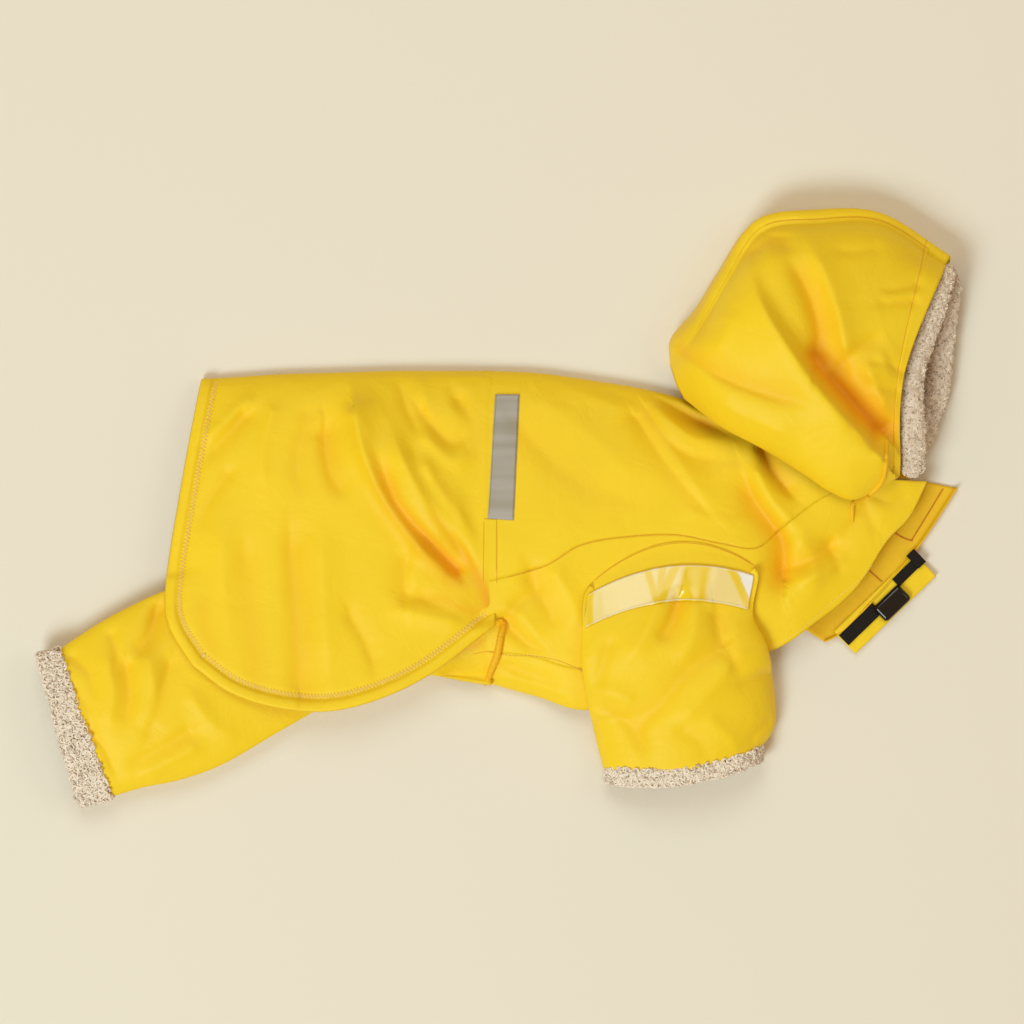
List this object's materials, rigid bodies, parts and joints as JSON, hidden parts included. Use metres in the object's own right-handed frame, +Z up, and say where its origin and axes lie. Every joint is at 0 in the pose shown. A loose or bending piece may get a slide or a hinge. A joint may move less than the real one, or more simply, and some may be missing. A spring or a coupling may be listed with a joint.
{
  "type": "dog raincoat",
  "caption": "Hooded dog raincoat with four legs, sherpa cuffs, reflective bands and a belt, lying on its side on a flat surface.",
  "frame": {"origin": "bottom centre of the bounding box, on the surface that the coat lies on", "axes": "+X towards the hood, +Y towards the spine, +Z up from the surface"},
  "size_m": [0.5725, 0.3701, 0.0693],
  "materials": {
    "yellow_nylon": "coated nylon, slight sheen",
    "sherpa": "curly pile",
    "clear_vinyl": "clear glossy film over yellow",
    "reflective_tape": "retroreflective grey tape",
    "black_webbing": "woven tape",
    "black_plastic": "gloss"
  },
  "bodies": {
    "root": {"back_panel": "yellow_nylon", "belly_panel": "yellow_nylon", "belt_loop": "black_webbing", "belt_strap": "yellow_nylon", "belt_webbing_lower": "black_webbing", "belt_webbing_upper": "black_webbing", "buckle": "black_plastic", "cape": "yellow_nylon", "cape_hem": "yellow_nylon", "casing": "yellow_nylon", "cuff_leg_left": "sherpa", "cuff_leg_right": "sherpa", "cuff_sleeve_left": "sherpa", "cuff_sleeve_right": "sherpa", "hood_crown": "yellow_nylon", "hood_hem": "yellow_nylon", "hood_left": "yellow_nylon", "hood_right": "yellow_nylon", "hood_sherpa": "sherpa", "leg_left": "yellow_nylon", "leg_right": "yellow_nylon", "reflective_tape": "reflective_tape", "side_left": "yellow_nylon", "side_right": "yellow_nylon", "sleeve_band": "clear_vinyl", "sleeve_left": "yellow_nylon", "sleeve_right": "yellow_nylon", "underlap": "yellow_nylon", "waist_seam": "yellow_nylon"}
  },
  "joints": []
}
